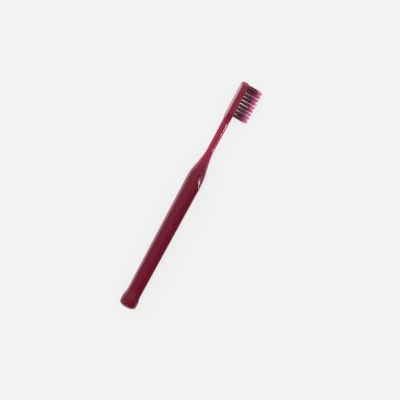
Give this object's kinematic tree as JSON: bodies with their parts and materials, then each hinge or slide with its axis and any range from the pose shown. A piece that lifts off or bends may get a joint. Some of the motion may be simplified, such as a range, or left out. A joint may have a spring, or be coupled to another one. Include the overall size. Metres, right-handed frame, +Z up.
{
  "type": "manual toothbrush",
  "caption": "Manual toothbrush with a faceted grip, round foot, slim neck and a small head of tapered bristle tufts, lying on its side.",
  "frame": {"origin": "on the surface that the brush lies on, under the middle of its bounding box", "axes": "+X along the handle from the foot to the head, +Z up from the surface, bristles towards -Y and a little down"},
  "size_m": [0.19, 0.0208, 0.0133],
  "materials": {
    "handle_plastic": "deep red moulded plastic, smooth and glossy",
    "bristle_nylon": "fine tapered strands, dark at the root and pale pink at the tips",
    "anchor_metal": "plain stamped metal"
  },
  "bodies": {
    "root": {"handle": "handle_plastic", "tuft_row_1_column_1": "bristle_nylon", "tuft_row_1_column_2": "bristle_nylon", "tuft_row_1_column_3": "bristle_nylon", "tuft_row_2_column_1": "bristle_nylon", "tuft_row_2_column_2": "bristle_nylon", "tuft_row_2_column_3": "bristle_nylon", "tuft_row_3_column_1": "bristle_nylon", "tuft_row_3_column_2": "bristle_nylon", "tuft_row_3_column_3": "bristle_nylon", "tuft_row_4_column_1": "bristle_nylon", "tuft_row_4_column_2": "bristle_nylon", "tuft_row_4_column_3": "bristle_nylon", "tuft_row_5_column_1": "bristle_nylon", "tuft_row_5_column_2": "bristle_nylon", "tuft_row_5_column_3": "bristle_nylon", "tuft_row_6_column_1": "bristle_nylon", "tuft_row_6_column_2": "bristle_nylon", "tuft_row_6_column_3": "bristle_nylon", "tuft_row_7_column_1": "bristle_nylon", "tuft_row_7_column_2": "bristle_nylon", "tuft_row_7_column_3": "bristle_nylon", "tuft_row_8_column_1": "bristle_nylon", "tuft_row_8_column_2": "bristle_nylon", "tuft_row_8_column_3": "bristle_nylon", "tuft_row_9_column_1": "bristle_nylon", "tuft_row_9_column_2": "bristle_nylon", "tuft_row_9_column_3": "bristle_nylon", "tuft_anchors": "anchor_metal"}
  },
  "joints": []
}
